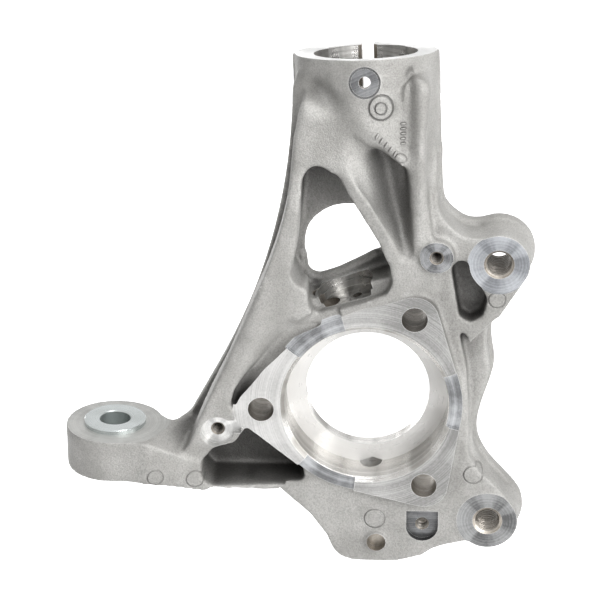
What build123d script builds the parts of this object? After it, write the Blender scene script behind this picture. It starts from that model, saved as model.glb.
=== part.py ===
from build123d import *
import os
from math import cos, radians, sin, sqrt

# Steering knuckle for the right-hand wheel, cast in aluminium and machined.
# X runs to the right seen from outboard, Y inboard, Z up. The origin is the centre
# of the wheel bearing bore on the machined hub flange, and all sizes are in mm.

# Wheel bearing seat and hub flange
bearing_r = 41.0
bearing_depth = 20.0
bearing_chamfer = 2.2
lip_r = 31.2
hub_bolt_circle_r = 53.0
hub_bolt_r = 6.5
hub_bolt_angles = (63.7, 183.7, 303.7)
lobe_r = 11.5
flange_r = 47.5
relief_depth = 1.8
relief_half_angle = 19.0
hub_r = 55.0

# Depths of the casting, measured inboard from the hub flange
web_depth = 5.0
rear_depth = 30.0
rim_thickness = 7.0
rim_step = 2.4
leg_groove_depth = 5.5
leg_groove_front = 10.0
rear_pocket_depth = 12.0
rear_recess_r = 39.0
rear_recess_depth = 3.0
arm_floor_thickness = 6.0
ear_floor_thickness = 14.0
channel_floor_thickness = 17.0

# Strut clamp: the centre of its bore at the top, its lean and its walls
strut_x, strut_y, strut_z = -3.0, 40.0, 173.0
strut_lean_in = 12.0
strut_lean_back = 2.5
strut_r = 25.6
strut_bore_depth = 44.0
clamp_side_wall = 9.4
clamp_front_wall = 6.0
clamp_length = 64.0
clamp_slot_width = 6.0
clamp_slot_depth = 33.0
clamp_slot_chamfer = 2.0
clamp_lug_width = 46.0
clamp_lug_reach = 19.0
clamp_lug_drop = 4.0
clamp_lug_height = 26.0
clamp_bolt_r = 6.25
clamp_bolt_drop = 15.0
clamp_relief_width = 36.0
clamp_relief_depth = 1.5
fin_thickness = 3.0
fin_height = 1.2
back_rib_thickness = 7.0
front_hole_r = 2.9
front_hole_drop = 11.0
front_spot_r = 7.8
front_spot_depth = 0.8
disc_mark_x, disc_mark_drop = 8.0, 23.3
disc_mark_r = 6.1
disc_mark_height = 0.6

# Caliper ears
ear_face_depth = 5.0
ear_face_r = 14.5
ear_body_r = 17.9
ear_hole_r = 7.0
upper_ear_x, upper_ear_z = 64.5, 76.0
lower_ear_x, lower_ear_z = 62.0, -66.0

# Steering arm eye and its steel bush
eye_x, eye_y = -127.7, 12.0
eye_top_z = -18.0
eye_height = 22.0
eye_r = 24.6
bush_r = 10.0
bush_bore_r = 7.8
bush_flange_r = 15.6
bush_flange_height = 2.4

# Window between the leg and the diagonal bar
window_wall = 7.0

# Lower ball joint seat
ball_x, ball_y = 3.0, 20.0
ball_boss_r = 15.0
ball_boss_height = 41.0
ball_stud_r = 7.0
drill_tip = 3.0
drill_end_z = -41.6
ball_seat_r = 9.0
ball_seat_height = 24.0
bulge_bottom_z = -91.0
cross_hole_r = 4.85
cross_hole_x, cross_hole_z = 5.5, -79.0

# Bosses for the brake shield
shield_thread_r = 3.2
shield_thread_depth = 14.0
left_boss_x, left_boss_z = -74.5, -14.5
left_boss_r = 7.3
low_boss_x, low_boss_z = 28.8, -70.2
low_boss_r = 8.15
low_boss_depth = 8.5
low_boss_top_z = -61.5
high_boss_x, high_boss_z = 33.8, 81.4
high_boss_r = 8.0

# Wheel speed sensor seat, cut into the floor of the window
sensor_tilt = 19.0
sensor_x, sensor_y, sensor_z = -19.5, 13.5, 49.6
sensor_hole_r = 6.0
sensor_screw_r = 2.5
sensor_screw_pitch = 15.0
sensor_screw_depth = 9.0
sensor_seat_r = 14.0
sensor_seat_shift = 11.0
sensor_seat_height = 7.0
sensor_front_wall = 8.0
sensor_hole_depth = 17.0


def facing(depth):
    """Plane parallel to the hub flange at this depth; it looks outboard, with Z up."""
    return Plane.XZ.offset(-depth)


def rim_of(x, z, r, angle):
    """Point at this angle on a circle around x, z."""
    return (x + r * cos(radians(angle)), z + r * sin(radians(angle)))


strut_plane = Plane((strut_x, strut_y, strut_z)).rotated((-strut_lean_in, -strut_lean_back, 0))
clamp_r = strut_r + clamp_side_wall
clamp_shift = clamp_side_wall - clamp_front_wall
slot_mouth = (clamp_slot_width + 2 * clamp_slot_chamfer) / sqrt(2)

# Body plate: the outline of everything but the clamp and the arm's eye
leg_top = (-38.3, 159.0)
ridge_left, ridge_right = (-26.0, 158.5), (14.5, 131.0)
body_top_z = 171.0
leg_root = (-92.0, eye_top_z - 3)
arm_low_z = -48.0
arm_low_left = (leg_root[0], arm_low_z + 1)
arm_low_right = (-45.0, arm_low_z - 1)
waist = (56.0, -26.0)
wall_bulge = (63.6, 16.0)
clamp_right_x = 35.6


def body_outline(inset=0.0, leg_inset=0.0):
    """Silhouette of the body seen from outboard, drawn in at its rim and along the leg."""
    low, high = (lower_ear_x, lower_ear_z), (upper_ear_x, upper_ear_z)
    ear_r = ear_body_r - inset
    with BuildSketch(facing(rear_depth)) as outline:
        with BuildLine():
            leg = Spline(
                (leg_top[0] + leg_inset, leg_top[1]),
                (-43.2 + leg_inset, 104.0),
                (-55.9 + leg_inset, 55.0),
                (-72.6 + leg_inset, 16.0),
                (leg_root[0] + leg_inset, leg_root[1]),
                tangents=((0, -1), (-0.45, -0.9)),
            )
            arm = Polyline(
                leg @ 1,
                (leg_root[0] + leg_inset, arm_low_left[1]),
                arm_low_right,
                (-28.0, -65.0),
                (-19.5, -77.0),
            )
            bulge = Spline(
                arm @ 1,
                (-11.5, bulge_bottom_z + 2),
                (5.0, bulge_bottom_z),
                (19.0, bulge_bottom_z + 1),
                tangents=((0.3, -1), (1, 0.15)),
            )
            under = Polyline(
                bulge @ 1,
                (29.0, bulge_bottom_z + 4),
                (34.0, bulge_bottom_z + 7.8),
                (40.0, bulge_bottom_z + 10.2),
                rim_of(*low, ear_r, 230),
            )
            low_ear = ThreePointArc(under @ 1, rim_of(*low, ear_r, 310), rim_of(*low, ear_r, 25))
            wall = Spline(
                low_ear @ 1,
                (61.5 - inset, -38.0),
                (waist[0] - inset, waist[1]),
                (wall_bulge[0] - inset, wall_bulge[1]),
                (62.0 - inset, 38.0),
                tangents=((-0.6, 1), (0.1, 1)),
            )
            neck = Line(wall @ 1, rim_of(*high, ear_r, -35))
            high_ear = ThreePointArc(neck @ 1, rim_of(*high, ear_r, 40), rim_of(*high, ear_r, 110))
            shoulder = Spline(
                high_ear @ 1,
                (48.0, 92.5 - inset),
                (39.5 - inset, 99.0),
                (clamp_right_x - inset, 116.0),
                tangents=((-1, -0.3), (-0.1, 1)),
            )
            Polyline(
                shoulder @ 1,
                (clamp_right_x - inset, ridge_right[1] + 5),
                (ridge_right[0] + 6, ridge_right[1] + 10),
                (ridge_left[0] + 6, body_top_z),
                (leg_top[0] + 3, body_top_z),
                leg @ 0,
            )
        make_face()
    return outline.sketch


# Front face of the ribs: one plane, proud of the hub flange at the leg and the arm
front_plane = Plane(origin=(0, 2.9, 0), z_dir=(0.11, -1, -0.052), x_dir=(1, 0.11, 0))
# Above the window the face leans back to meet the clamp
shoulder_plane = Plane(origin=(0, -2.0, 122.0), z_dir=(0, -1, 0.3), x_dir=(1, 0, 0))
# Its top falls back to the clamp's wall, along a ridge that runs down to the rib
ridge_y = -2.0 + 0.3 * (ridge_left[1] - 122.0)
ridge_plane = Plane(origin=(ridge_left[0], ridge_y, ridge_left[1]), z_dir=(1.266, -1, 2.162), x_dir=(1, 1.266, 0))
top_plane = Plane(origin=(0, ridge_y, ridge_left[1]), z_dir=(0, -1, 3.5), x_dir=(1, 0, 0))

# Ribs that stand in front of the body plate: the leg, the frame of the window,
# the diagonal bar and the wall of the arm, sloping down to the hub at the leg
with BuildPart() as front_ribs:
    with BuildSketch(facing(leg_groove_front)) as ribs:
        with BuildLine():
            outer = Spline(
                (-34.0, 170.0),
                (-36.0, 150.0),
                (-38.5, 118.0),
                (-45.3, 87.0),
                (-56.2, 57.4),
                (-70.8, 22.0),
                (-85.0, -11.0),
                (-94.0, -27.0),
                (-107.0, -31.5),
                tangents=((0, -1), (-1, -0.2)),
            )
            low = Polyline(
                outer @ 1, (-107.0, -43.0), (-84.0, -46.5), arm_low_right, (-40.0, -46.0), (-41.0, -39.5)
            )
            valley = Polyline(low @ 1, (-56.0, -10.0), (-68.0, 0.0), (-66.0, 8.0))
            inner = Spline(
                valley @ 1,
                (-53.5, 24.0),
                (-42.0, 37.0),
                (-28.0, 44.0),
                tangents=((0.5, 1), (1, 0.3)),
            )
            Polyline(
                inner @ 1,
                (30.0, 48.0),
                (34.0, 62.0),
                (34.0, 86.0),
                (21.0, 92.0),
                (ridge_right[0] + 1.5, ridge_right[1] + 9),
                (ridge_left[0] + 7, ridge_left[1] + 9),
                (ridge_left[0], ridge_left[1] + 11.5),
                outer @ 0,
            )
        make_face()
    extrude(amount=26)
    split(bisect_by=front_plane, keep=Keep.BOTTOM)
    split(bisect_by=shoulder_plane, keep=Keep.BOTTOM)
    with BuildPart(mode=Mode.SUBTRACT):
        with BuildSketch(facing(web_depth)):
            Circle(hub_r - 1)
        with BuildSketch(facing(web_depth - 12)):
            Circle(hub_r + 12)
        loft()
        split(bisect_by=Plane(origin=(-20.0, 0, 0), z_dir=(1, 0, 0.35), x_dir=(0, 1, 0)), keep=Keep.BOTTOM)

# Body plate with the ribs, and the hollow beside the vertical rib
with BuildPart() as body:
    extrude(body_outline(), amount=rim_thickness)
    extrude(body_outline(rim_step, leg_groove_depth), amount=rear_depth - web_depth)
    add(front_ribs.part)
    split(bisect_by=ridge_plane, keep=Keep.BOTTOM)
    split(bisect_by=top_plane, keep=Keep.BOTTOM)
    with BuildSketch(Plane.YZ.offset(24.5)):
        with BuildLine():
            Polyline((-20, 91), (3.5, 91), (5.0, 96), (17.5, 129), (19.5, 150), (-20, 150), close=True)
        make_face()
    extrude(amount=20, mode=Mode.SUBTRACT)

# Strut clamp: its wall, the fins on the parting line and the lugs behind the slot
with BuildPart() as clamp:
    with BuildSketch(strut_plane):
        with Locations((0, clamp_shift)):
            Circle(clamp_r)
            Rectangle(2 * (clamp_r + fin_height), fin_thickness)
    extrude(amount=-clamp_length)
    with BuildSketch(strut_plane.offset(-clamp_lug_drop)):
        with Locations((0, strut_r + clamp_lug_reach / 2)):
            RectangleRounded(clamp_lug_width, clamp_lug_reach, 5)
    extrude(amount=-clamp_lug_height)

# Ribs behind that carry the clamp down on to the body
with BuildPart() as back:
    for x, foot_z in ((-30.5, 92), (24.0, 62)):
        with BuildSketch(Plane.YZ.offset(x - back_rib_thickness / 2)):
            with BuildLine():
                Polyline(
                    (rear_depth - 4, foot_z + 4),
                    (rear_depth - 4, 140),
                    (50, 140),
                    (46, 112),
                    (rear_depth, foot_z),
                    close=True,
                )
            make_face()
        extrude(amount=back_rib_thickness)

# Vertical rib from the clamp's front down to the hub, with a round top
with BuildPart() as rib:
    with BuildSketch(facing(rear_depth)):
        with BuildLine():
            Polyline(
                (16.5, 164.0),
                (17.5, 135.0),
                (19.8, 108.0),
                (22.5, 82.0),
                (33.0, 82.0),
                (28.8, 110.0),
                (27.6, 137.0),
                (29.5, 164.0),
                close=True,
            )
        make_face()
        with Locations((23.0, 164.0)):
            Circle(6.5)
    extrude(amount=60)
    split(bisect_by=Plane(origin=(0, 9.0, 171.0), z_dir=(0, -1, 0.1), x_dir=(1, 0, 0)), keep=Keep.BOTTOM)

# Ears for the caliper, each drafted towards its outboard face
with BuildPart() as ears:
    for x, z in ((upper_ear_x, upper_ear_z), (lower_ear_x, lower_ear_z)):
        with BuildSketch(facing(rear_depth)):
            with Locations((x, z)):
                Circle(ear_body_r)
        with BuildSketch(facing(ear_face_depth)):
            with Locations((x, z)):
                Circle(ear_face_r)
        loft()

# Arm with the eye for the track rod
with BuildPart() as arm:
    with BuildSketch(Plane.XY.offset(eye_top_z)):
        with BuildLine():
            Polyline(
                (-128, -12),
                (-110, -13),
                (-95, -9),
                (-80, -5),
                (-80, 30),
                (-92, 28),
                (-98, 17),
                (-104, 20),
                (-112, 30),
                (-128, 36),
                close=True,
            )
        make_face()
    extrude(amount=-34)
    with BuildSketch(facing(60)):
        with BuildLine():
            Polyline(
                (-150, eye_top_z),
                (-80, eye_top_z),
                (-80, -48),
                (-98, -43.5),
                (-114, -40.5),
                (-133, -39),
                (-150, -39),
                close=True,
            )
        make_face()
    extrude(amount=120, mode=Mode.INTERSECT)
    split(bisect_by=Plane(origin=(-110, -13, eye_top_z), x_dir=(15, 28, 0), z_dir=(14.0, -7.5, 24.0)), keep=Keep.BOTTOM)
    with BuildSketch(Plane((eye_x, eye_y, eye_top_z))):
        Circle(eye_r)
    extrude(amount=-eye_height)

# Lower bulge round the ball joint's stud
with BuildPart() as bulge:
    with BuildSketch(Plane((ball_x, ball_y, bulge_bottom_z))):
        Circle(ball_boss_r)
    extrude(amount=ball_boss_height)

# Hub barrel with the three-lobed machined flange
with BuildPart() as hub:
    with BuildSketch(facing(rear_depth)):
        Circle(hub_r)
    extrude(amount=rear_depth - web_depth)
    with BuildSketch(facing(web_depth)):
        for angle in hub_bolt_angles:
            with BuildSketch(mode=Mode.PRIVATE) as lobe:
                Circle(flange_r)
                with Locations(rim_of(0, 0, hub_bolt_circle_r, angle)):
                    Circle(lobe_r)
                make_hull()
            add(lobe.sketch)
    extrude(amount=web_depth)

# Window: a pocket from outboard, and the opening through its rear wall
with BuildPart() as window:
    with BuildSketch(facing(rear_depth - window_wall)):
        with BuildLine():
            left = Polyline((-37.4, 72.0), (-34.0, 90.5), (-32.4, 116.0))
            arch = Spline(
                left @ 1,
                (-30.0, 125.0),
                (-25.4, 127.8),
                (-19.6, 125.2),
                (-5.2, 107.0),
                tangents=((0, 1), (0.5, -0.86)),
            )
            Polyline(
                arch @ 1,
                (4.8, 89.5),
                (10.8, 75.0),
                (12.2, 66.5),
                (9.5, 60.2),
                (-3.6, 55.6),
                (-25.5, 49.2),
                (-28.6, 54.5),
                (-29.6, 64.5),
                (-34.5, 66.5),
                left @ 0,
            )
        make_face()
    extrude(amount=60)
    with BuildSketch(facing(rear_depth + 5)):
        with BuildLine():
            low = Polyline((-26.0, 57.5), (-32.5, 58.0), (-32.0, 78.0))
            top = Spline(low @ 1, (-28.5, 90.0), (-20.0, 97.0), (-4.0, 99.0), tangents=((0.05, 1), (1, 0)))
            Polyline(top @ 1, (6.0, 88.0), (8.5, 76.0), low @ 0)
        make_face()
        fillet(vertices().sort_by(Axis.Y)[:2], radius=3)
    extrude(amount=20)

# Valley between the diagonal bar and the rib, deepest along the rib
with BuildPart() as groove:
    with BuildSketch(facing(20)):
        with BuildLine():
            Polyline(
                (-14.0, 147.5),
                (13.0, 129.5),
                (18.8, 125.5),
                (24.0, 82.0),
                (19.0, 78.0),
                (0.0, 112.0),
                (-11.5, 128.5),
                close=True,
            )
        make_face()
    extrude(amount=50)
    split(bisect_by=Plane(origin=(-11.5, -0.6, 128.5), x_dir=(29.8, 1.4, -49.5), z_dir=(-25.0, 48.0, -13.7)), keep=Keep.BOTTOM)

# Pocket in the arm's web
with BuildPart() as arm_pocket:
    with BuildSketch(facing(rear_depth - arm_floor_thickness)):
        with BuildLine():
            Polyline(
                (-82.5, -31.0),
                (-77.0, -24.0),
                (-66.0, -21.0),
                (-60.0, -12.0),
                (-54.0, -15.0),
                (-33.0, -32.5),
                (-31.0, -45.5),
                (-78.0, -45.5),
                (-82.5, -40.0),
                close=True,
            )
        make_face()
        fillet(vertices(), radius=2.5)
    extrude(amount=60)

# Pocket in the web of the upper ear
with BuildPart() as ear_pocket:
    with BuildSketch(facing(rear_depth - ear_floor_thickness)):
        with BuildLine():
            Polyline(
                (41.0, 73.5),
                (45.5, 47.5),
                (51.0, 44.5),
                (57.0, 48.0),
                (59.0, 57.0),
                (50.0, 76.0),
                (45.0, 78.0),
                close=True,
            )
        make_face()
        fillet(vertices(), radius=2.5)
    extrude(amount=40)

# Channel between the hub and the right wall
with BuildPart() as channel:
    with BuildSketch(facing(rear_depth - channel_floor_thickness)):
        with BuildLine():
            Polyline(
                (45.6, 42.0),
                (51.2, 33.3),
                (64.0, 47.0),
                (80.0, 50.0),
                (80.0, -10.0),
                (90.0, -47.0),
                (67.0, -47.0),
                (57.0, -38.0),
                (51.5, -29.0),
                (51.0, 0.0),
                (49.5, 20.0),
                (46.5, 34.0),
                close=True,
            )
        make_face()
    extrude(amount=40)

# Pockets cast into the rear side, between the hub and the leg and below the upper ear
with BuildPart() as rear_pockets:
    for corners in (
        ((-46.0, 50.0), (-58.0, 27.0), (-71.0, -2.0), (-64.0, -8.0), (-61.0, 12.0), (-50.0, 33.0), (-40.0, 44.0)),
        ((30.0, 60.0), (46.0, 42.0), (53.0, 44.0), (46.0, 62.0), (34.0, 70.0)),
    ):
        with BuildSketch(facing(rear_depth + 1)):
            with BuildLine():
                Polyline(*corners, close=True)
            make_face()
            fillet(vertices(), radius=2)
        extrude(amount=rear_pocket_depth + 1)

with BuildPart() as knuckle_casting:
    add(body.part)
    add(hub.part)
    add(clamp.part)
    add(back.part)
    add(groove.part, mode=Mode.SUBTRACT)
    add(rib.part)
    add(ears.part)
    add(arm.part)
    add(bulge.part)
    add(window.part, mode=Mode.SUBTRACT)
    add(arm_pocket.part, mode=Mode.SUBTRACT)
    add(ear_pocket.part, mode=Mode.SUBTRACT)
    add(channel.part, mode=Mode.SUBTRACT)
    add(rear_pockets.part, mode=Mode.SUBTRACT)
    with BuildSketch(facing(rear_depth - rear_recess_depth)):
        Circle(rear_recess_r)
    extrude(amount=-rear_depth, mode=Mode.SUBTRACT)

    # Machined seat of the wheel bearing, with a relief between the lobes of the flange
    with BuildSketch(facing(0)):
        Circle(bearing_r)
    extrude(amount=-bearing_depth, mode=Mode.SUBTRACT)
    with BuildSketch(facing(0)):
        Circle(lip_r)
    extrude(amount=-rear_depth - 10, mode=Mode.SUBTRACT)
    with BuildSketch(facing(0)):
        Circle(bearing_r + bearing_chamfer)
    with BuildSketch(facing(bearing_chamfer)):
        Circle(bearing_r)
    loft(mode=Mode.SUBTRACT)
    for angle in hub_bolt_angles:
        with BuildSketch(facing(relief_depth)):
            with BuildLine():
                inner_arc = CenterArc((0, 0), bearing_r, angle + 60 - relief_half_angle, 2 * relief_half_angle)
                outer_arc = CenterArc((0, 0), hub_r + 2, angle + 60 - relief_half_angle, 2 * relief_half_angle)
                Line(inner_arc @ 0, outer_arc @ 0)
                Line(inner_arc @ 1, outer_arc @ 1)
            make_face()
        extrude(amount=relief_depth + 4, mode=Mode.SUBTRACT)
    with BuildSketch(facing(-1)):
        for angle in hub_bolt_angles:
            with Locations(rim_of(0, 0, hub_bolt_circle_r, angle)):
                Circle(hub_bolt_r)
    extrude(amount=-rear_depth - 4, mode=Mode.SUBTRACT)

    # Strut bore, open at the top and slit behind, with the pinch bolt's hole
    with BuildSketch(strut_plane):
        Circle(strut_r)
    extrude(amount=-strut_bore_depth, mode=Mode.SUBTRACT)
    with BuildSketch(strut_plane):
        with Locations((0, clamp_r)):
            Rectangle(clamp_slot_width, 2 * clamp_r)
    extrude(amount=-clamp_slot_depth, mode=Mode.SUBTRACT)
    with BuildSketch(strut_plane):
        with Locations((0, strut_r / 2)):
            Rectangle(clamp_relief_width, strut_r + 2 * clamp_relief_depth)
        Circle(strut_r + clamp_relief_depth, mode=Mode.INTERSECT)
    extrude(amount=-strut_bore_depth, mode=Mode.SUBTRACT)
    # the slot's mouths at the bore and at the lugs are chamfered
    with BuildSketch(strut_plane):
        for y in (sqrt((strut_r + clamp_relief_depth) ** 2 - clamp_slot_width ** 2 / 4), strut_r + clamp_lug_reach):
            with Locations((0, y)):
                Rectangle(slot_mouth, slot_mouth, rotation=45)
    extrude(amount=-clamp_slot_depth, mode=Mode.SUBTRACT)
    with BuildSketch(strut_plane * Plane.YZ.offset(-60)):
        with Locations((strut_r + clamp_lug_reach / 2, -clamp_bolt_drop)):
            Circle(clamp_bolt_r)
    extrude(amount=120, mode=Mode.SUBTRACT)
    with BuildSketch(strut_plane * Plane.XZ):
        with Locations((0, -front_hole_drop)):
            Circle(front_hole_r)
    extrude(amount=60, mode=Mode.SUBTRACT)
    clamp_front_y = clamp_shift - clamp_r
    with BuildSketch(strut_plane * Plane.XZ.offset(-clamp_front_y - front_spot_depth)):
        with Locations((0, -front_hole_drop)):
            Circle(front_spot_r)
    extrude(amount=5, mode=Mode.SUBTRACT)
    disc_seat_y = clamp_shift - sqrt(clamp_r ** 2 - disc_mark_x ** 2)
    with BuildSketch(strut_plane * Plane.XZ.offset(-disc_seat_y + disc_mark_height)):
        with Locations((disc_mark_x, -disc_mark_drop)):
            Circle(disc_mark_r)
    extrude(amount=-4)

    # Holes of the two ears
    with BuildSketch(facing(0)):
        with Locations((upper_ear_x, upper_ear_z), (lower_ear_x, lower_ear_z)):
            Circle(ear_hole_r)
    extrude(amount=-rear_depth - 4, mode=Mode.SUBTRACT)

    # Eye of the arm, bored for its bush
    with BuildSketch(Plane((eye_x, eye_y, eye_top_z))):
        Circle(bush_r)
    extrude(amount=-eye_height - 10, mode=Mode.SUBTRACT)

    # Ball joint's stud hole from below into the bearing seat, and the cross hole
    with BuildSketch(facing(ball_y)):
        with BuildLine():
            Polyline(
                (ball_x, bulge_bottom_z - 2),
                (ball_x + ball_stud_r, bulge_bottom_z - 2),
                (ball_x + ball_stud_r, drill_end_z),
                (ball_x, drill_end_z + drill_tip),
                close=True,
            )
        make_face()
    revolve(axis=Axis((ball_x, ball_y, 0), (0, 0, 1)), mode=Mode.SUBTRACT)
    with BuildSketch(Plane((ball_x, ball_y, bulge_bottom_z - 2))):
        Circle(ball_seat_r)
    extrude(amount=ball_seat_height, mode=Mode.SUBTRACT)
    with BuildSketch(facing(-4)):
        with Locations((cross_hole_x, cross_hole_z)):
            Circle(cross_hole_r)
    extrude(amount=-ball_y - 4, mode=Mode.SUBTRACT)

    # Threaded bosses for the brake shield
    with BuildSketch(facing(0)):
        with Locations((left_boss_x, left_boss_z)):
            Circle(left_boss_r)
        with Locations((left_boss_x + 5, left_boss_z + 3)):
            Rectangle(10, 6)
    extrude(amount=12, mode=Mode.SUBTRACT)
    with BuildSketch(facing(web_depth + 2)):
        with Locations((high_boss_x, high_boss_z)):
            Circle(high_boss_r)
    extrude(amount=web_depth + 3)
    with BuildSketch(facing(low_boss_depth)):
        with Locations((low_boss_x, low_boss_z)):
            Circle(low_boss_r)
        with Locations((low_boss_x, (low_boss_z + low_boss_top_z) / 2)):
            Rectangle(2 * low_boss_r, low_boss_top_z - low_boss_z)
    extrude(amount=12, mode=Mode.SUBTRACT)
    with BuildSketch(facing(-1)):
        with Locations((left_boss_x, left_boss_z), (high_boss_x, high_boss_z), (low_boss_x, low_boss_z)):
            Circle(shield_thread_r)
    extrude(amount=-shield_thread_depth - 1, mode=Mode.SUBTRACT)

    # Seat of the wheel speed sensor, its hole into the bearing seat and its screw hole
    sensor_plane = Plane(
        origin=(sensor_x, sensor_y, sensor_z),
        z_dir=(-sin(radians(sensor_tilt)), 0, cos(radians(sensor_tilt))),
        x_dir=(cos(radians(sensor_tilt)), 0, sin(radians(sensor_tilt))),
    )
    with BuildSketch(sensor_plane):
        with Locations((sensor_seat_shift, 0)):
            Circle(sensor_seat_r)
        with Locations((sensor_seat_shift, -sensor_seat_r - sensor_front_wall)):
            Rectangle(4 * sensor_seat_r, 2 * sensor_seat_r, mode=Mode.SUBTRACT)
    extrude(amount=sensor_seat_height, mode=Mode.SUBTRACT)
    with BuildSketch(sensor_plane):
        Circle(sensor_hole_r)
    extrude(amount=-sensor_hole_depth, mode=Mode.SUBTRACT)
    with BuildSketch(sensor_plane):
        with Locations((sensor_screw_pitch, 0)):
            Circle(sensor_screw_r)
    extrude(amount=-sensor_screw_depth, mode=Mode.SUBTRACT)

# Flanged steel bush, pressed into the eye of the arm from above
with BuildPart() as steering_arm_bush:
    with BuildSketch(Plane((eye_x, eye_y, eye_top_z))):
        Circle(bush_r)
        Circle(bush_bore_r, mode=Mode.SUBTRACT)
    extrude(amount=-eye_height)
    with BuildSketch(Plane((eye_x, eye_y, eye_top_z))):
        Circle(bush_flange_r)
        Circle(bush_bore_r, mode=Mode.SUBTRACT)
    extrude(amount=bush_flange_height)
    chamfer(steering_arm_bush.faces().sort_by(Axis.Z)[-1].edges(), length=0.5)

os.makedirs("parts", exist_ok=True)
knuckle_casting.part.label = "knuckle_casting"
export_step(knuckle_casting.part, "parts/knuckle_casting.step")
steering_arm_bush.part.label = "steering_arm_bush"
export_step(steering_arm_bush.part, "parts/steering_arm_bush.step")
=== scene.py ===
import math

import bmesh
import bpy
import numpy
from mathutils import Matrix, Vector


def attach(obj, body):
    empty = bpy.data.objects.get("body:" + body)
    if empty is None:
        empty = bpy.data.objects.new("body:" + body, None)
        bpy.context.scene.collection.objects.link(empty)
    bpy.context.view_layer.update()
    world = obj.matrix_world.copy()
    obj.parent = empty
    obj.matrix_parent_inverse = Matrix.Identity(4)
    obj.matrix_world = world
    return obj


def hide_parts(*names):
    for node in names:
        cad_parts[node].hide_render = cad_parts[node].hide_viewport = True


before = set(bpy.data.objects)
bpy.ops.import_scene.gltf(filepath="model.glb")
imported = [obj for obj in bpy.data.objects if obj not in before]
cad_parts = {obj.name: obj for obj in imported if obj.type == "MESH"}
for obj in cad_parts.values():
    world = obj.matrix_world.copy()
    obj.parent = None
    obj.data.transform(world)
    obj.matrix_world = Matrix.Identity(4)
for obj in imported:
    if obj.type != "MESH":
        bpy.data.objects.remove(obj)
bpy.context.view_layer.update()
mm = 0.001
sharpAngle = math.radians(38)  # edges bent more than this stay sharp

# One list of finishes for the casting and all its cutters: each cut leaves its own finish behind
finishNames = ["castSkin", "hubFace", "turnedBore", "drilledHole", "reliefFace", "upperEarFace", "lowerEarFace",
               "eyeFace", "bossFace", "clampTop", "shadedBoss", "clampBore", "shoulderRing", "sensorFace"]
finishes = [bpy.data.materials.new(name) for name in finishNames]


def link(obj):
    bpy.context.scene.collection.objects.link(obj)
    return obj


def newObject(name, bm):
    bmesh.ops.recalc_face_normals(bm, faces=bm.faces)
    mesh = bpy.data.meshes.new(name)
    bm.to_mesh(mesh)
    bm.free()
    return link(bpy.data.objects.new(name, mesh))


def drop(obj):
    mesh = obj.data
    bpy.data.objects.remove(obj)
    bpy.data.meshes.remove(mesh)


def bake(obj):
    # the evaluated mesh takes the place of the modifiers
    bpy.context.view_layer.update()
    mesh = bpy.data.meshes.new_from_object(obj.evaluated_get(bpy.context.evaluated_depsgraph_get()))
    old = obj.data
    obj.modifiers.clear()
    obj.data = mesh
    bpy.data.meshes.remove(old)


def giveFinishes(obj, finish):
    # every finish in its slot, and one of them on all faces
    obj.data.materials.clear()
    for material in finishes:
        obj.data.materials.append(material)
    for polygon in obj.data.polygons:
        polygon.material_index = finishNames.index(finish)


def machine(obj, parts):
    # takes (cutter, finish) pairs off a piece and shades it with sharp edges
    cutters = []
    for number, (part, finish) in enumerate(parts):
        cutter = newObject("cutter%02d" % number, part)
        giveFinishes(cutter, finish)
        cutters.append(cutter)
        cut = obj.modifiers.new("cut%02d" % number, "BOOLEAN")
        cut.operation = "DIFFERENCE"
        cut.solver = "MANIFOLD"
        cut.object = cutter
    bake(obj)
    for cutter in cutters:
        drop(cutter)
    obj.data.shade_smooth()
    obj.data.set_sharp_from_angle(angle=sharpAngle)


def outboard(x, z, depth):
    # frame on a face that looks outboard: local x is X, local y is Z, local z points outboard
    return Matrix(((1, 0, 0, x), (0, 0, -1, depth), (0, 1, 0, z), (0, 0, 0, 1)))


def upright(x, y, z):
    return Matrix.Translation((x, y, z))


def tilted(origin, xAxis, zAxis):
    xAxis, zAxis = Vector(xAxis).normalized(), Vector(zAxis).normalized()
    yAxis = zAxis.cross(xAxis)
    turned = Matrix((xAxis, yAxis, zAxis)).transposed().to_4x4()
    return Matrix.Translation(origin) @ turned


def disc(place, radius, low, high, segments=96, topRadius=None):
    # a cylinder or cone in mm on the local z axis of a frame
    bm = bmesh.new()
    bmesh.ops.create_cone(bm, cap_ends=True, segments=segments, radius1=radius,
                          radius2=radius if topRadius is None else topRadius, depth=high - low)
    bm.transform(Matrix.Scale(mm, 4) @ place @ Matrix.Translation((0, 0, (high + low) / 2)))
    return bm


def slab(place, xLow, xHigh, yLow, yHigh, low, high):
    bm = bmesh.new()
    bmesh.ops.create_cube(bm, size=1)
    size = Matrix.Diagonal((xHigh - xLow, yHigh - yLow, high - low, 1))
    middle = Matrix.Translation(((xHigh + xLow) / 2, (yHigh + yLow) / 2, (high + low) / 2))
    bm.transform(Matrix.Scale(mm, 4) @ place @ middle @ size)
    return bm


def prism(place, outline, low, high):
    bm = bmesh.new()
    bottom = [bm.verts.new((x, y, low)) for x, y in outline]
    top = [bm.verts.new((x, y, high)) for x, y in outline]
    bm.faces.new(bottom)
    bm.faces.new(top)
    for i in range(len(outline)):
        j = (i + 1) % len(outline)
        bm.faces.new((bottom[i], bottom[j], top[j], top[i]))
    bm.transform(Matrix.Scale(mm, 4) @ place)
    return bm


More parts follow.
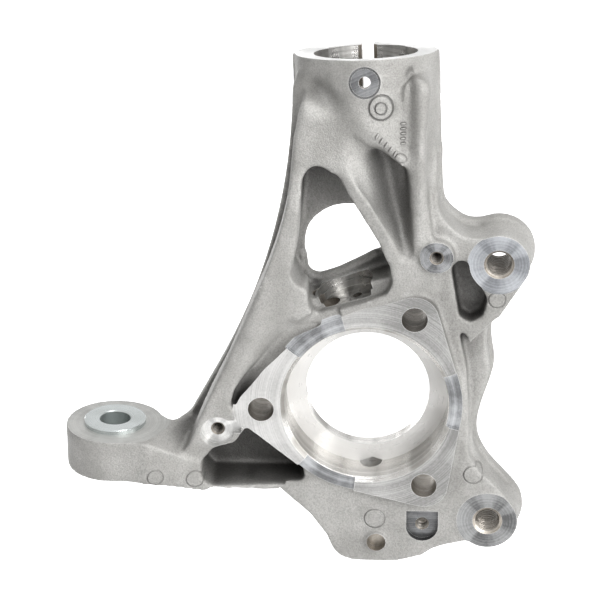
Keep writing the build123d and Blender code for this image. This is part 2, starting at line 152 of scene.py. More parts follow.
def lathe(place, profile, segments=160):
    # closed profile of (radius, height) pairs that starts and ends on the axis
    bm = bmesh.new()
    rings = []
    for radius, height in profile:
        if radius == 0:
            rings.append([bm.verts.new((0, 0, height))])
        else:
            rings.append([bm.verts.new((radius * math.cos(a), radius * math.sin(a), height))
                          for a in (2 * math.pi * i / segments for i in range(segments))])
    for one, two in zip(rings, rings[1:]):
        for i in range(segments):
            j = (i + 1) % segments
            corners = [one[i % len(one)], one[j % len(one)], two[j % len(two)], two[i % len(two)]]
            bm.faces.new(list(dict.fromkeys(corners)))
    bm.transform(Matrix.Scale(mm, 4) @ place)
    return bm


def hullOutline(circles, steps=48):
    # convex outline round a few circles given as (x, y, radius)
    points = [Vector((x + r * math.cos(2 * math.pi * i / steps), y + r * math.sin(2 * math.pi * i / steps)))
              for x, y, r in circles for i in range(steps)]
    points.sort(key=lambda p: (p.x, p.y))
    half = []
    for row in (points, points[::-1]):
        chain = []
        for p in row:
            while len(chain) > 1 and (chain[-1] - chain[-2]).cross(p - chain[-1]) <= 1e-9:
                chain.pop()
            chain.append(p)
        half += chain[:-1]
    return [(p.x, p.y) for p in half]


# Where the machining is, in mm, as on the solid
hubSize = {
    "boreRadius": 41.0, "boreDepth": 20.0, "mouthChamfer": 2.2, "lipRadius": 31.2, "lipEnd": 27.0,
    "rearRecessRadius": 39.0, "boltCircle": 53.0, "boltRadius": 6.5, "boltAngles": (63.7, 183.7, 303.7),
    "lobeRadius": 11.5, "flangeRadius": 47.5, "reliefDepth": 1.8, "reliefHalfAngle": 19.0,
    "shoulderLow": -60.0,
}
strutSize = {
    "origin": (-3.0, 40.0, 173.0), "xAxis": (0.999048, 0.009069, 0.042666), "zAxis": (-0.043619, 0.207714, 0.977217),
    "boreRadius": 25.6, "boreDepth": 44.0, "outerRadius": 35.0, "shift": 3.4, "slotWidth": 6.0, "slotDepth": 33.0,
    "mouth": 7.07, "reliefDepth": 1.5, "reliefStart": 45.5, "reliefTurn": 89.0, "lugReach": 19.0, "lugDrop": 4.0,
    "lugBottom": 29.5, "boltRadius": 6.25, "boltDrop": 15.0, "boltBack": 35.1, "boltHalf": 23.2,
    "frontHoleRadius": 2.9, "frontHoleDrop": 11.0, "frontSpotRadius": 7.8, "frontSpotDepth": 0.8,
}
earSize = {"places": ((64.5, 76.0), (62.0, -66.0)), "faceDepth": 5.0, "faceRadius": 14.5, "holeRadius": 7.0,
           "coreRadius": 6.2, "pitch": 2.0, "holeEnd": 40.0}
eyeSize = {"x": -127.7, "y": 12.0, "top": -18.0, "height": 22.0, "radius": 24.6, "boreRadius": 10.0}
ballSize = {"x": 3.0, "y": 20.0, "studRadius": 7.0, "seatRadius": 9.0, "bottom": -91.0, "seatHeight": 22.0,
            "studTop": 50.0, "faceRadius": 26.0, "crossX": 5.5, "crossZ": -79.0, "crossRadius": 4.85,
            "crossDepth": 8.5}
# a boss is x, z, depth of its face and radius
bossSize = {"threadRadius": 3.2, "threadCut": 0.55, "threadPitch": 1.25, "threadDepth": 14.0,
            "left": (-74.5, -14.5, 0.0, 7.3), "high": (33.8, 81.4, -1.0, 8.0), "low": (28.8, -70.2, 8.5, 8.15),
            "lowTop": -61.5, "lowFront": 5.2}
sensorSize = {"origin": (-19.5, 13.5, 49.6), "tilt": 19.0, "holeRadius": 6.0, "holeDepth": 17.0, "screwRadius": 2.5,
              "screwPitch": 15.0, "screwDepth": 9.0, "seatRadius": 14.0, "seatShift": 11.0, "seatHeight": 3.4,
              "stepRadius": 15.0, "stepHeight": 3.8, "frontWall": 8.0, "seatFront": 5.6,
              "block": (-10.0, 37.0, -6.5, 16.2, -2.0, 7.3)}

# block under the sill of the window, as x and z corners between two depths
sillBlock = {"corners": ((-27, 50), (9, 61.5), (7, 72), (-27, 56.5)), "front": 23.4, "thick": 6.2}

# rounded lip along the sill of the window, at its rear edge
sillLip = {"line": ((-33.6, 72), (-33.2, 64), (-29.6, 59.8), (-24.1, 58.6), (-14.1, 62.1), (-3.1, 67.9), (4.5, 72.4)),
           "y": 25.0, "radius": 3.0}

# metal left round a cut, at the end of a hole and in front of a face, so that the cutter has all of it to take
stockSize = {"round": 0.6, "end": 0.6, "face": 1.0, "hubFace": 1.2, "rear": 30.6, "flange": 0.7}

strutPlace = tilted(strutSize["origin"], strutSize["xAxis"], strutSize["zAxis"])
strutBolt = (strutPlace @ Matrix.Translation((0, strutSize["boltBack"], -strutSize["boltDrop"]))
             @ Matrix.Rotation(math.pi / 2, 4, "Y"))
strutFront = strutPlace @ Matrix.Translation((0, 0, -strutSize["frontHoleDrop"])) @ Matrix.Rotation(math.pi / 2, 4, "X")
eyePlace = upright(eyeSize["x"], eyeSize["y"], eyeSize["top"])
ballPlace = upright(ballSize["x"], ballSize["y"], ballSize["bottom"])
crossPlace = outboard(ballSize["crossX"], ballSize["crossZ"], 0)
tilt = math.radians(sensorSize["tilt"])
sensorPlace = tilted(sensorSize["origin"], (math.cos(tilt), 0, math.sin(tilt)), (-math.sin(tilt), 0, math.cos(tilt)))
screwPlace = sensorPlace @ Matrix.Translation((sensorSize["screwPitch"], 0, 0))
boltCentres = [(hubSize["boltCircle"] * math.cos(math.radians(a)), hubSize["boltCircle"] * math.sin(math.radians(a)))
               for a in hubSize["boltAngles"]]


def flangeOutlines(grow):
    # one convex outline for each lobe: together they are the three-lobed flange
    return [hullOutline([(0, 0, hubSize["flangeRadius"] + grow), (x, z, hubSize["lobeRadius"] + grow)])
            for x, z in boltCentres]


def lowRecess(grow):
    # spot face of the low shield boss: square towards the hub, round below
    x, z, depth, radius = bossSize["low"]
    turns = [math.pi + math.pi * i / 40 for i in range(41)]
    low = [(x + (radius + grow) * math.cos(t), z + (radius + grow) * math.sin(t)) for t in turns]
    return low + [(x + radius + grow, bossSize["lowTop"] + grow), (x - radius - grow, bossSize["lowTop"] + grow)]


def seatOutline(radius):
    # round behind, straight in front
    sensor = sensorSize
    turns = [2 * math.pi * i / 120 for i in range(120)]
    points = [(sensor["seatShift"] + radius * math.cos(t), max(radius * math.sin(t), -sensor["frontWall"]))
              for t in turns]
    return [p for i, p in enumerate(points) if (Vector(p) - Vector(points[i - 1])).length > 0.01]


def threadProfile(front, radius, core, pitch, end):
    # a thread as rings a pitch apart, with a countersink at the face; end is where the drill stops
    mouth = radius + pitch / 2
    profile = [(0, 12), (mouth, 12), (mouth, front + 0.2 * pitch), (core, front - 0.6 * pitch)]
    depth = front - 0.6 * pitch
    while depth > end + pitch:
        profile += [(core, depth - 0.25 * pitch), (radius, depth - 0.6 * pitch), (core, depth - 0.95 * pitch)]
        depth -= pitch
    return profile + [(core, end), (0, end - core * 0.5)]


def rawStock():
    # metal that the machining takes off again, so that its edges come out sharp
    hub, strut, ball, boss, spare = hubSize, strutSize, ballSize, bossSize, stockSize
    front = outboard(0, 0, 0)
    stock = [disc(front, hub["boreRadius"] + 3, -hub["lipEnd"] - 1, spare["hubFace"]),
             disc(front, 40, -spare["rear"], -20)]
    stock += [prism(front, outline, -4, spare["hubFace"]) for outline in flangeOutlines(spare["flange"])]
    stock += [disc(outboard(x, z, 0), hub["boltRadius"] + spare["round"], -spare["rear"], spare["hubFace"])
              for x, z in boltCentres]
    for x, z in earSize["places"]:
        stock.append(disc(outboard(x, z, earSize["faceDepth"]), earSize["faceRadius"] + 0.3, -6, spare["face"]))
        stock.append(disc(outboard(x, z, 0), earSize["holeRadius"] + spare["round"], -spare["rear"], -5))
    stock.append(disc(eyePlace, eyeSize["radius"] + 0.2, -5, spare["face"]))
    stock.append(disc(eyePlace, eyeSize["boreRadius"] + spare["round"], -eyeSize["height"] - spare["end"], -4))
    stock.append(disc(strutPlace, strut["boreRadius"] + 2, -strut["boreDepth"] - spare["end"], spare["face"]))
    stock.append(disc(strutPlace @ Matrix.Translation((0, strut["shift"], 0)), strut["outerRadius"] + 0.2, -4,
                      spare["face"]))
    stock.append(slab(strutPlace, -6, 6, 20, 34, -strut["slotDepth"] - 1, 1))
    stock.append(slab(strutPlace, -6, 6, 30, strut["boreRadius"] + strut["lugReach"] + spare["end"],
                      -strut["lugBottom"], -strut["lugDrop"] - 0.4))
    stock.append(disc(strutBolt, strut["boltRadius"] + spare["round"], -strut["boltHalf"], strut["boltHalf"]))
    stock.append(disc(strutFront, strut["frontSpotRadius"] + spare["round"], 24,
                      strut["outerRadius"] - strut["shift"] + 0.1))
    stock.append(disc(ballPlace, ball["seatRadius"] + 0.8, -0.8, ball["seatHeight"] + 1))
    stock.append(disc(ballPlace, ball["studRadius"] + 0.8, ball["seatHeight"], 57))
    stock.append(disc(crossPlace, ball["crossRadius"] + 0.5, -18, -2.9))
    for key in ("left", "high"):
        x, z, depth, radius = boss[key]
        stock.append(disc(outboard(x, z, depth), radius + spare["round"], -12, spare["face"]))
    stock.append(prism(outboard(0, 0, boss["lowFront"]), lowRecess(spare["round"]), -12, 0))
    stock.append(prism(outboard(0, 0, sillBlock["front"]), sillBlock["corners"], -sillBlock["thick"], 0))
    stock.append(slab(sensorPlace, *sensorSize["block"]))
    for (x0, z0), (x1, z1) in zip(sillLip["line"], sillLip["line"][1:]):
        long = math.hypot(x1 - x0, z1 - z0)
        run = tilted((x0, sillLip["y"], z0), (0, 1, 0), (x1 - x0, 0, z1 - z0))
        stock.append(disc(run, sillLip["radius"], -0.5, long + 0.5, 24))
    return stock


def machining():
    # (cutter, finish) for every machined face and hole, in the order of the cuts
    hub, strut, ball, boss, sensor = hubSize, strutSize, ballSize, bossSize, sensorSize
    front = outboard(0, 0, 0)
    cuts = [(prism(front, outline, 0, 12), "hubFace") for outline in flangeOutlines(2.5)]
    bore, chamfer, lip, recess = hub["boreRadius"], hub["mouthChamfer"], hub["lipRadius"], hub["rearRecessRadius"]
    profile = [(0, 12), (bore + chamfer, 12), (bore + chamfer, 0), (bore, -chamfer), (bore, -hub["boreDepth"]),
               (lip, -hub["boreDepth"]), (lip, -hub["lipEnd"]), (recess, -hub["lipEnd"]), (recess, -40), (0, -40)]
    cuts.append((lathe(front, profile), "turnedBore"))
    for angle in hub["boltAngles"]:
        middle, half = math.radians(angle + 60), math.radians(hub["reliefHalfAngle"])
        turns = [middle - half + 2 * half * i / 24 for i in range(25)]
        outer = hub["flangeRadius"] + 3.5
        sector = [(bore * math.cos(t), bore * math.sin(t)) for t in turns]
        sector += [(outer * math.cos(t), outer * math.sin(t)) for t in reversed(turns)]
        cuts.append((prism(front, sector, -hub["reliefDepth"], 6), "reliefFace"))
    cuts += [(disc(outboard(x, z, 0), hub["boltRadius"], -40, 6, 72), "drilledHole") for x, z in boltCentres]
    thread = threadProfile(-earSize["faceDepth"], earSize["holeRadius"], earSize["coreRadius"], earSize["pitch"],
                           -earSize["holeEnd"])
    # the upper ear face is painted lighter and the lower one darker: painted light and shade on two copies of one face
    for (x, z), finish in zip(earSize["places"], ("upperEarFace", "lowerEarFace")):
        cuts.append((disc(outboard(x, z, earSize["faceDepth"]), earSize["faceRadius"] + 1.2, 0, 10), finish))
        cuts.append((lathe(outboard(x, z, 0), thread, 72), "drilledHole"))
    cuts.append((disc(eyePlace, eyeSize["radius"] + 4, 0, 8), "eyeFace"))
    cuts.append((disc(eyePlace, eyeSize["boreRadius"], -40, 8), "turnedBore"))
    cuts.append((disc(strutPlace, 60, 0, 12), "clampTop"))
    cuts.append((disc(strutPlace, strut["boreRadius"], -strut["boreDepth"], 12, 128), "clampBore"))
    reach = strut["boreRadius"] + strut["reliefDepth"]
    arc = [(reach * math.cos(t), reach * math.sin(t)) for t in
           (math.radians(strut["reliefStart"] + strut["reliefTurn"] * i / 24) for i in range(25))]
    relief = [(arc[-1][0], 10), (arc[0][0], 10)] + arc
    cuts.append((prism(strutPlace, relief, -strut["boreDepth"] + 2, 12), "clampBore"))
    half = strut["slotWidth"] / 2
    cuts.append((slab(strutPlace, -half, half, 20, 60, -strut["slotDepth"], 12), "drilledHole"))
    for y in (math.sqrt(reach ** 2 - half ** 2), strut["boreRadius"] + strut["lugReach"]):
        # a square on its corner bevels each mouth of the slot
        edge = strutPlace @ Matrix.Translation((0, y, 0)) @ Matrix.Rotation(math.pi / 4, 4, "Z")
        side = strut["mouth"] / 2
        cuts.append((slab(edge, -side, side, -side, side, -strut["slotDepth"], 12), "drilledHole"))
    cuts.append((disc(strutBolt, strut["boltRadius"], -40, 40), "drilledHole"))
    spot = strut["outerRadius"] - strut["shift"] - strut["frontSpotDepth"]
    rim = strut["frontSpotRadius"]
    profile = [(0, 40), (rim, 40), (rim, spot - 0.5), (rim - 0.8, spot - 0.5), (rim - 1.0, spot), (0, spot)]
    cuts.append((lathe(strutFront, profile, 72), "shadedBoss"))
    cuts.append((disc(strutFront, strut["frontHoleRadius"], 10, 40, 48), "drilledHole"))
    cuts.append((disc(ballPlace, ball["faceRadius"], -8, 0), "bossFace"))
    cuts.append((disc(ballPlace, ball["seatRadius"], -8, ball["seatHeight"], 72), "drilledHole"))
    stud, top = ball["studRadius"], ball["studTop"]
    # the stud hole gets the lighter turned finish, a painted highlight on its far wall
    cuts.append((lathe(ballPlace, [(0, -8), (stud, -8), (stud, top), (0, top + 2.5)], 96), "shoulderRing"))
    cuts.append((disc(crossPlace, ball["crossRadius"], -ball["crossDepth"], 20, 64), "drilledHole"))
    for key, finish in (("left", "bossFace"), ("high", "shadedBoss")):
        x, z, depth, radius = boss[key]
        cuts.append((disc(outboard(x, z, depth), radius + 1.0, 0, 12, 72), finish))
    cuts.append((prism(outboard(0, 0, boss["low"][2]), lowRecess(0), 0, 9), "shadedBoss"))
    for key in ("left", "high", "low"):
        x, z, depth = boss[key][:3]
        thread = threadProfile(-depth, boss["threadRadius"], boss["threadRadius"] - boss["threadCut"],
                               boss["threadPitch"], -boss["threadDepth"])
        cuts.append((lathe(outboard(x, z, 0), thread, 48), "drilledHole"))
    x, z = boss["left"][:2]
    cuts.append((slab(outboard(x, z, 0), 0, 12, -1, 6, 0, 12), "bossFace"))
    low, high = sensor["seatHeight"], sensor["seatHeight"] + sensor["stepHeight"]
    cuts.append((prism(sensorPlace, seatOutline(sensor["seatRadius"]), 0, low + 1), "sensorFace"))
    cuts.append((prism(sensorPlace, seatOutline(sensor["stepRadius"]), low, high + 1), "sensorFace"))
    cuts.append((disc(sensorPlace, sensor["holeRadius"], -sensor["holeDepth"], 12, 64), "drilledHole"))
    cuts.append((disc(screwPlace, sensor["screwRadius"], -sensor["screwDepth"], 12, 40), "drilledHole"))
    return cuts


# How the cast skin is rounded: voxel in mm, triangle count, plain rounds of smoothing, and soft places with
# more of them, each as centre and reach in mm and number of rounds
skinSize = {"voxel": 1.05, "rounds": 9, "strength": 0.5, "triangles": 150000, "weights": 10,
            "soft": (((-22, -2, 152), 34, 40), ((2, 2, 134), 26, 30), ((22, 0, 150), 20, 14), ((-31, 12, 160), 20, 60),
                     ((14, 2, 130), 8, 50), ((-48, 3, 28), 30, 60), ((-38, 3, 42), 18, 40),
                     ((15.5, 8, 122), 15, 30), ((16.5, 6, 108), 15, 30), ((18, 4, 94), 13, 26), ((-22, 2, 96), 22, 14),
                     ((-32, 2, 78), 16, 14))}

# Channels and crests of the skin, along lines: x, z, half width and depth in mm at each point, where a crest
# has a depth below 0
carveSize = {
    "ribValley": ((4.6, 132.8, 7, 5), (8, 122.4, 9, 8), (11, 108.8, 9, 8.5), (15.4, 94, 5.5, 6), (17.9, 80.3, 3.5, 2)),
    "barCrest": ((-10.7, 126.8, 3.5, -1.2), (0.9, 110.4, 3.5, -1.4), (12.9, 88.5, 3.5, -1.4), (19.4, 76.5, 3, -0.8)),
    "ribCrest": ((24.4, 166, 5, -2.2), (24.4, 130, 5.5, -3), (24.4, 90, 5, -2)),
    "ribLeftGroove": ((19.4, 172, 2.2, 2.4), (19.4, 148, 2.4, 2.4), (19.6, 133, 2.4, 2)),
    "legGroove": ((-41.5, 140, 2.4, 1.6), (-46, 100, 2.4, 1.8), (-56, 60, 2.4, 1.8), (-68, 30, 2.4, 1.6)),
    "ribRightHollow": ((31.8, 166, 3.4, 2.4), (32.3, 140, 4, 3.2), (32, 114, 3.4, 2.4)),
    "ridgeCrest": ((-8.2, 155, 3.5, -1.2), (3.9, 142.7, 3.5, -1.5), (13.4, 135, 3, -1)),
    "shoulder": ((-32, 165, 8, 6), (-26, 162, 9, 8), (-18, 157, 7, 5)),
    "hubValley": ((-60.7, 1, 5, -2.5), (-52.2, 16.2, 7, -4.5), (-38.2, 31, 7, -4.5), (-24, 39, 5, -2)),
    "legDent": ((-61, 38, 4, 2.2), (-64, 30, 4, 2.2)),
}
carveReach = {"end": 23.0, "fade": 8.0}  # depth where the carving has faded out, and over how much it fades


def vertexSpots(mesh):
    # all vertices of a mesh, in mm
    spots = numpy.empty(len(mesh.vertices) * 3)
    mesh.vertices.foreach_get("co", spots)
    return spots.reshape(-1, 3) / mm


def carve(mesh):
    spots = vertexSpots(mesh)
    x, y, z = spots.T
    for line in carveSize.values():
        move = numpy.zeros(len(x))
        for (x0, z0, wide0, deep0), (x1, z1, wide1, deep1) in zip(line, line[1:]):
            along = ((x - x0) * (x1 - x0) + (z - z0) * (z1 - z0)) / ((x1 - x0) ** 2 + (z1 - z0) ** 2)
            along = numpy.clip(along, 0, 1)
            off = numpy.hypot(x - x0 - along * (x1 - x0), z - z0 - along * (z1 - z0))
            off /= wide0 + along * (wide1 - wide0)
            step = numpy.clip(1 - off ** 2, 0, 1) ** 2 * (deep0 + along * (deep1 - deep0))
            move = numpy.where(abs(step) > abs(move), step, move)
        # only the outboard skin moves, and less of it towards the rear
        y += move * numpy.clip((carveReach["end"] - y) / carveReach["fade"], 0, 1)
    mesh.vertices.foreach_set("co", (spots * mm).ravel())
    mesh.update()


def roundSkin(casting):
    # even smoothing all over, then more of it in the soft places
    def smooth(name, rounds, group=""):
        more = casting.modifiers.new(name, "SMOOTH")
        more.iterations = rounds
        more.factor = skinSize["strength"]
        more.vertex_group = group

    smooth("round", skinSize["rounds"])
    spots = vertexSpots(casting.data)
    last = skinSize["weights"]
    for number, (centre, reach, rounds) in enumerate(skinSize["soft"]):
        group = casting.vertex_groups.new(name="soft%d" % number)
        near = 1 - numpy.linalg.norm(spots - numpy.array(centre), axis=1) / reach
        for step in range(1, last + 1):
            above = near * 2 * last > step - 1
            below = (near * 2 * last <= step) | (step == last)
            group.add(numpy.nonzero(above & below)[0].tolist(), step / last, "REPLACE")
        smooth("round%d" % number, rounds, group.name)


def makeCasting():
    bm = bmesh.new()
    bm.from_mesh(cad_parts["knuckle_casting"].data)
    bmesh.ops.remove_doubles(bm, verts=bm.verts, dist=1e-6)
    for part in rawStock():
        bmesh.ops.recalc_face_normals(part, faces=part.faces)
        piece = bpy.data.meshes.new("stock")
        part.to_mesh(piece)
        part.free()
        bm.from_mesh(piece)
        bpy.data.meshes.remove(piece)
    mesh = bpy.data.meshes.new("knuckleCasting")
    bm.to_mesh(mesh)
    bm.free()
    casting = link(bpy.data.objects.new("knuckleCasting", mesh))
    remesh = casting.modifiers.new("skin", "REMESH")
    remesh.mode = "VOXEL"
    remesh.voxel_size = skinSize["voxel"] * mm
    remesh.use_smooth_shade = True
    bake(casting)
    print("raw casting:", len(casting.data.polygons), "faces")
    carve(casting.data)
    roundSkin(casting)
    thin = casting.modifiers.new("thin", "DECIMATE")
    thin.ratio = min(1, skinSize["triangles"] / (2 * len(casting.data.polygons)))
    bake(casting)
    casting.vertex_groups.clear()
    print("cast skin:", len(casting.data.polygons), "faces")
    giveFinishes(casting, "castSkin")
    machine(casting, machining())
    # faces of the bearing bore that look outboard, the shoulder, get a lighter copy of the turned finish: painted
    # light, as they face the lamps
    bore, ring, low = finishNames.index("turnedBore"), finishNames.index("shoulderRing"), hubSize["shoulderLow"] * mm
    for polygon in casting.data.polygons:
        if polygon.material_index == bore and polygon.normal.y < -0.9 and polygon.center.z > low:
            polygon.material_index = ring
    used = sorted({finishNames[polygon.material_index] for polygon in casting.data.polygons})
    print("machined casting:", len(casting.data.polygons), "faces, finishes", used)
    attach(casting, "root")
    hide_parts("knuckle_casting")
    return casting


casting = makeCasting()


def feed(tree, socket, value):
    # a link where the value comes from another node, and a plain setting where it doesn't
    if isinstance(value, bpy.types.NodeSocket):
        tree.links.new(value, socket)
    else:
        socket.default_value = value


def addNode(tree, kind, inputs=None, **settings):
    node = tree.nodes.new(kind)
    for name, value in settings.items():
        setattr(node, name, value)
    for name, value in (inputs or {}).items():
        feed(tree, node.inputs[name], value)
    return node


def calc(tree, operation, *values, clamp=False):
    node = addNode(tree, "ShaderNodeMath", operation=operation, use_clamp=clamp)
    for socket, value in zip(node.inputs, values):
        feed(tree, socket, value)
    return node.outputs[0]


def remap(tree, value, low, high, outLow=0.0, outHigh=1.0, smooth=True):
    node = addNode(tree, "ShaderNodeMapRange", {"Value": value, "From Min": low, "From Max": high,
                                                "To Min": outLow, "To Max": outHigh})
    node.interpolation_type = "SMOOTHSTEP" if smooth else "LINEAR"
    return node.outputs["Result"]


def vectorCalc(tree, operation, one, two=(0, 0, 0)):
    node = addNode(tree, "ShaderNodeVectorMath", operation=operation)
    feed(tree, node.inputs[0], one)
    feed(tree, node.inputs[1], two)
    return node.outputs["Value" if operation in ("LENGTH", "DOT_PRODUCT") else "Vector"]


def objectSpot(tree):
    return addNode(tree, "ShaderNodeTexCoord").outputs["Object"]


def blendColour(tree, share, one, two):
    node = addNode(tree, "ShaderNodeMix", data_type="RGBA")
    feed(tree, node.inputs[0], share)
    feed(tree, node.inputs[6], one)
    feed(tree, node.inputs[7], two)
    return node.outputs[2]


def grainNoise(tree, vector, size, detail=2.0, rough=0.55):
    # one grain is about size mm across
    node = addNode(tree, "ShaderNodeTexNoise", {"Vector": vector, "Detail": detail, "Roughness": rough})
    scale = calc(tree, "DIVIDE", 1000.0, size) if isinstance(size, bpy.types.NodeSocket) else 1000 / size
    feed(tree, node.inputs["Scale"], scale)
    return node.outputs[0]


def lineNoise(tree, place, scale, detail, rough=0.5):
    inputs = {"W": place, "Scale": scale, "Detail": detail, "Roughness": rough}
    return addNode(tree, "ShaderNodeTexNoise", inputs, noise_dimensions="1D").outputs[0]


def newGroup(name, inputs, outputs):
    tree = bpy.data.node_groups.new(name, "ShaderNodeTree")
    for label, kind, value in inputs:
        socket = tree.interface.new_socket(name=label, in_out="INPUT", socket_type=kind)
        socket.default_value = value
    for label in outputs:
        tree.interface.new_socket(name=label, in_out="OUTPUT", socket_type="NodeSocketFloat")
    return tree, tree.nodes.new("NodeGroupInput").outputs, tree.nodes.new("NodeGroupOutput").inputs


def useGroup(tree, group, **values):
    node = addNode(tree, "ShaderNodeGroup", node_tree=group)
    for label, value in values.items():
        feed(tree, node.inputs[label], value)
    return node.outputs


def metalGrain():
    # pebbled skin of the mould: its height, fine dark specks, and slow clouds of tone
    tree, given, result = newGroup("metalGrain", [("Grain", "NodeSocketFloat", 0.9)], ["Height", "Specks", "Clouds"])
    spot = objectSpot(tree)
    coarse = grainNoise(tree, spot, calc(tree, "MULTIPLY", given["Grain"], 2.6), 2.0)
    fine = grainNoise(tree, spot, given["Grain"], 2.0)
    height = calc(tree, "MULTIPLY_ADD", coarse, 0.7, fine)
    tree.links.new(height, result["Height"])
    specks = grainNoise(tree, spot, calc(tree, "MULTIPLY", given["Grain"], 1.3), 3.0, 0.7)
    tree.links.new(remap(tree, specks, 0.36, 0.6), result["Specks"])
    wide, narrow = grainNoise(tree, spot, 34.0, 2.0), grainNoise(tree, spot, 9.0, 2.0)
    slow = calc(tree, "ADD", wide, calc(tree, "MULTIPLY", narrow, 0.5))
    tree.links.new(remap(tree, slow, 0.5, 1.0), result["Clouds"])
    return tree


def paintedHighlightAndShade():
    # first output is 1 on a sharp edge, which the finishes paint lighter as a painted highlight; second is 1 deep in a
    # corner or pocket, which they paint darker as painted shade
    inputs = [("Width", "NodeSocketFloat", 0.0008), ("Reach", "NodeSocketFloat", 0.02)]
    tree, given, result = newGroup("paintedHighlightAndShade", inputs, ["Edge", "PaintedShadeMask"])
    rounded = addNode(tree, "ShaderNodeBevel", {"Radius": given["Width"]}, samples=4).outputs[0]
    flat = addNode(tree, "ShaderNodeNewGeometry").outputs["Normal"]
    same = vectorCalc(tree, "DOT_PRODUCT", rounded, flat)
    tree.links.new(remap(tree, same, 0.985, 0.8), result["Edge"])
    bare = addNode(tree, "ShaderNodeAmbientOcclusion", {"Distance": given["Reach"]}, samples=8).outputs["AO"]
    tree.links.new(remap(tree, bare, 0.9, 0.3, smooth=False), result["PaintedShadeMask"])
    return tree


def toolMarks():
    # marks of a cutter that turned about Centre: Squash and Round are 0 along its axis and 1 across it
    inputs = [("Centre", "NodeSocketVector", (0, 0, 0)), ("Squash", "NodeSocketVector", (1, 0, 1)),
              ("Pitch", "NodeSocketFloat", 0.9), ("Round", "NodeSocketVector", (1, 0, 1)),
              ("Spokes", "NodeSocketFloat", 1.6)]
    tree, given, result = newGroup("toolMarks", inputs, ["Height", "Rings", "Sweep", "Patches"])
    spot = objectSpot(tree)
    away = vectorCalc(tree, "SUBTRACT", spot, given["Centre"])
    radius = vectorCalc(tree, "LENGTH", vectorCalc(tree, "MULTIPLY", away, given["Squash"]))
    reach = calc(tree, "DIVIDE", calc(tree, "MULTIPLY", radius, 1000.0), given["Pitch"])
    lines = lineNoise(tree, reach, 1.0, 3.0, 0.7)
    wide = lineNoise(tree, reach, 0.13, 1.0)
    way = vectorCalc(tree, "NORMALIZE", vectorCalc(tree, "MULTIPLY", away, given["Round"]))
    sweep = addNode(tree, "ShaderNodeTexNoise", {"Vector": way, "Scale": given["Spokes"], "Detail": 2.0}).outputs[0]
    broad = grainNoise(tree, spot, 22.0, 1.0, 0.5)
    scuffs = calc(tree, "MULTIPLY", remap(tree, grainNoise(tree, spot, 1.3, 4.0, 0.8), 0.4, 0.6), 0.3)
    streaks = calc(tree, "MULTIPLY_ADD", remap(tree, lines, 0.4, 0.6), 0.45, scuffs)
    patches = calc(tree, "MULTIPLY_ADD", remap(tree, broad, 0.47, 0.53), 0.25, streaks)
    tree.links.new(patches, result["Patches"])
    tree.links.new(lines, result["Height"])
    tree.links.new(remap(tree, wide, 0.3, 0.7), result["Rings"])
    tree.links.new(remap(tree, sweep, 0.35, 0.65), result["Sweep"])
    return tree


def ringMark():
    # round mark on a face that looks outboard: Ring is its line, Inside its area
    inputs = [("Centre", "NodeSocketVector", (0, 0, 0)), ("Radius", "NodeSocketFloat", 4.0),
              ("Line", "NodeSocketFloat", 0.7)]
    tree, given, result = newGroup("ringMark", inputs, ["Ring", "Inside"])
    away = vectorCalc(tree, "SUBTRACT", objectSpot(tree), given["Centre"])
    parts = addNode(tree, "ShaderNodeSeparateXYZ", {"Vector": away}).outputs
    square = calc(tree, "ADD", calc(tree, "POWER", parts["X"], 2.0), calc(tree, "POWER", parts["Z"], 2.0))
    radius = calc(tree, "MULTIPLY", calc(tree, "SQRT", square), 1000.0)
    near = remap(tree, calc(tree, "ABSOLUTE", parts["Y"]), 0.012, 0.009)
    off = calc(tree, "ABSOLUTE", calc(tree, "SUBTRACT", radius, given["Radius"]))
    ring = calc(tree, "SUBTRACT", 1.0, remap(tree, calc(tree, "DIVIDE", off, given["Line"]), 0.2, 1.0))
    tree.links.new(calc(tree, "MULTIPLY", ring, near), result["Ring"])
    inside = remap(tree, calc(tree, "SUBTRACT", radius, given["Radius"]), 0.25, -0.25)
    tree.links.new(calc(tree, "MULTIPLY", inside, near), result["Inside"])
    return tree


grainGroup, paintedLightGroup, marksGroup, ringGroup = metalGrain(), paintedHighlightAndShade(), toolMarks(), ringMark()

# the near-white colour is a painted highlight for sharp edges, and the near-black one is painted shade for corners,
# pockets and the grooves of the marks
castLook = {"light": (0.56, 0.552, 0.532, 1), "dark": (0.41, 0.402, 0.384, 1), "hollow": (0.05, 0.048, 0.045, 1),
            "speck": (0.15, 0.147, 0.14, 1), "edge": (0.86, 0.855, 0.84, 1), "roughness": 0.5, "metallic": 0.35,
            "grain": 0.6, "bump": 0.0003, "markRise": 1.2, "markGrooveShade": 0.22}
# pusher and insert marks on the cast skin: x, y, z, radius and width of the line in mm, and how deep it is drawn, both
# as a groove and as painted shade in the groove
castMarks = {"ridgeDisc": (5.6, 4.7, 157.0, 5.9, 0.75, 2.4), "ridgeDimple": (5.4, 4.6, 156.6, 2.8, 0.6, 2.0),
             "armPadLeft": (-105.6, -11.0, -37.3, 3.9, 0.6, 1.0),
             "armPadRight": (-85.9, -6.6, -40.1, 4.4, 0.6, 1.0), "earPad": (63.8, 5.0, 57.1, 4.2, 0.6, 1.0),
             "lowPad": (54.1, 5.0, -40.0, 4.8, 0.6, 1.0), "ballPad": (4.5, 5.0, -66.2, 5.2, 0.6, 1.0)}


